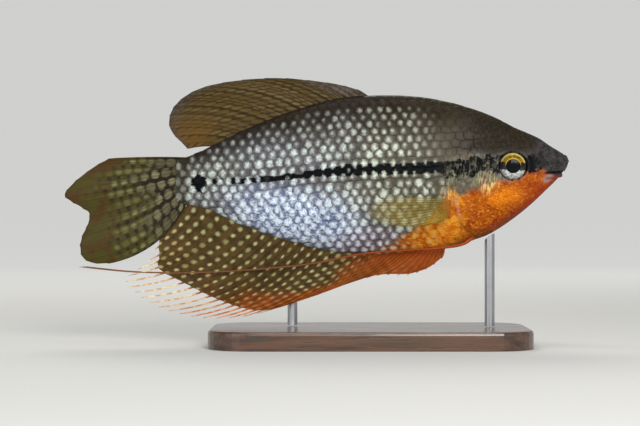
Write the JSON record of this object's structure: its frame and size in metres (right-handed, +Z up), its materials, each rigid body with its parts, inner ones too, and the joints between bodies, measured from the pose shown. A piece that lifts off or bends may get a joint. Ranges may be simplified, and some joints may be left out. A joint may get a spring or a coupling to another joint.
{
  "type": "pearl gourami fish model",
  "caption": "Life-size still model of an adult male pearl gourami, a tall thin fish with long fins and feelers, on a plain stand.",
  "frame": {"origin": "middle of the object's box at the level of the table", "axes": "+X from the tail towards the snout, +Y towards the fish's left, +Z up"},
  "size_m": [0.1114, 0.036, 0.059],
  "materials": {
    "head_skin": "wet, smooth skin, orange below and dark grey-brown above",
    "body_skin": "small glossy scales, each with a pearl-white spot on grey-brown",
    "dorsal_fin": "thin translucent membrane, grey-brown with pale spots",
    "anal_fin": "thin translucent membrane, orange in front, brown with cream spots behind",
    "caudal_fin": "thin translucent membrane, olive-grey with pale and dark spots",
    "pectoral_fin": "clear olive-yellow membrane with fine dark rays",
    "pelvic_thread": "soft, smooth, orange-red feeler",
    "eye": "wet glossy eye, gold and silver iris and black pupil",
    "stand_wood": "dark stained wood with a satin varnish",
    "stand_steel": "plain brushed steel rod"
  },
  "bodies": {
    "root": {"head": "head_skin", "trunk": "body_skin", "tail_stalk": "body_skin", "dorsal_fin": "dorsal_fin", "anal_fin": "anal_fin", "caudal_fin": "caudal_fin", "stand_base": "stand_wood", "stand_rod_front": "stand_steel", "stand_rod_rear": "stand_steel", "eye_right": "eye", "pectoral_fin_right": "pectoral_fin", "pelvic_thread_right_base": "pelvic_thread", "pelvic_thread_right_end": "pelvic_thread", "eye_left": "eye", "pectoral_fin_left": "pectoral_fin", "pelvic_thread_left_base": "pelvic_thread", "pelvic_thread_left_end": "pelvic_thread"}
  },
  "joints": []
}
